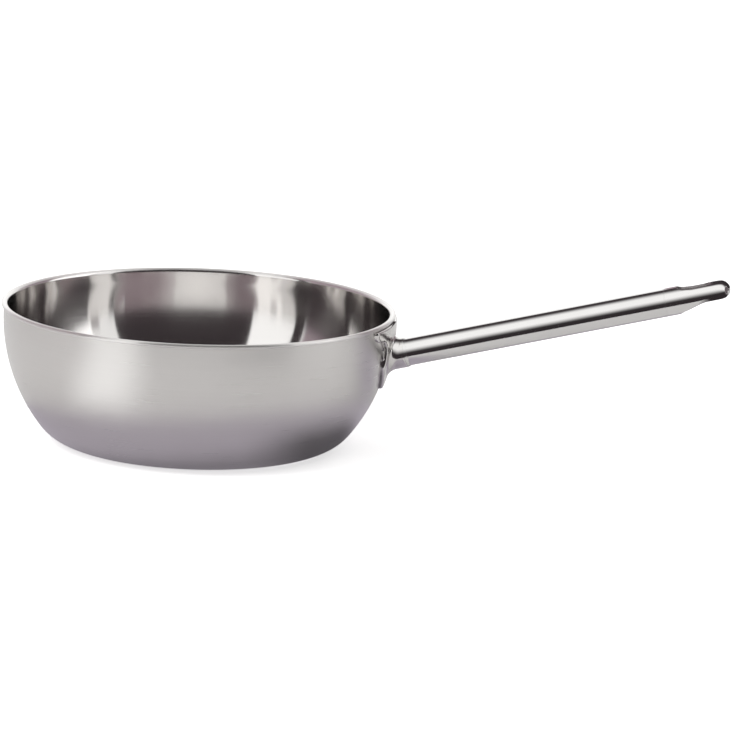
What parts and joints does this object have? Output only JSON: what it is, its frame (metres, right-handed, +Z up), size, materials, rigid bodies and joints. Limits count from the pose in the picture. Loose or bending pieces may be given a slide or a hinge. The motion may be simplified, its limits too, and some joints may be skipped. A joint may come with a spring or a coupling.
{
  "type": "saucier pan",
  "caption": "Clad stainless steel saucier pan with flared curved sides, rounded pouring lip and one long welded tubular handle with a hanging slot.",
  "frame": {"origin": "centre of the flat underside of the base", "axes": "+Z up along the bowl's axis, +X towards the handle"},
  "size_m": [0.4568, 0.248, 0.1258],
  "materials": {
    "liner_steel": "18/10 stainless, brushed round the bowl and buffed, with crisp streaky reflections",
    "pure_aluminium": "rolled pure aluminium, hidden inside the wall",
    "alloy_core": "rolled aluminium alloy, hidden inside the wall",
    "satin_shell_steel": "magnetic stainless, satin, brushed in fine rings round the pan",
    "polished_cast_steel": "cast stainless, polished to a mirror",
    "polished_tube_steel": "drawn stainless tube, mirror polished along its length",
    "weld_metal": "stainless weld, ground and polished flush"
  },
  "bodies": {
    "root": {"inner_liner": "liner_steel", "inner_bond_layer": "pure_aluminium", "core": "alloy_core", "outer_bond_layer": "pure_aluminium", "outer_shell": "satin_shell_steel", "flange_welds": "weld_metal", "handle_saddle": "polished_cast_steel", "neck_weld": "weld_metal", "handle_tube": "polished_tube_steel", "end_weld": "weld_metal", "hanging_eye": "polished_cast_steel"}
  },
  "joints": []
}
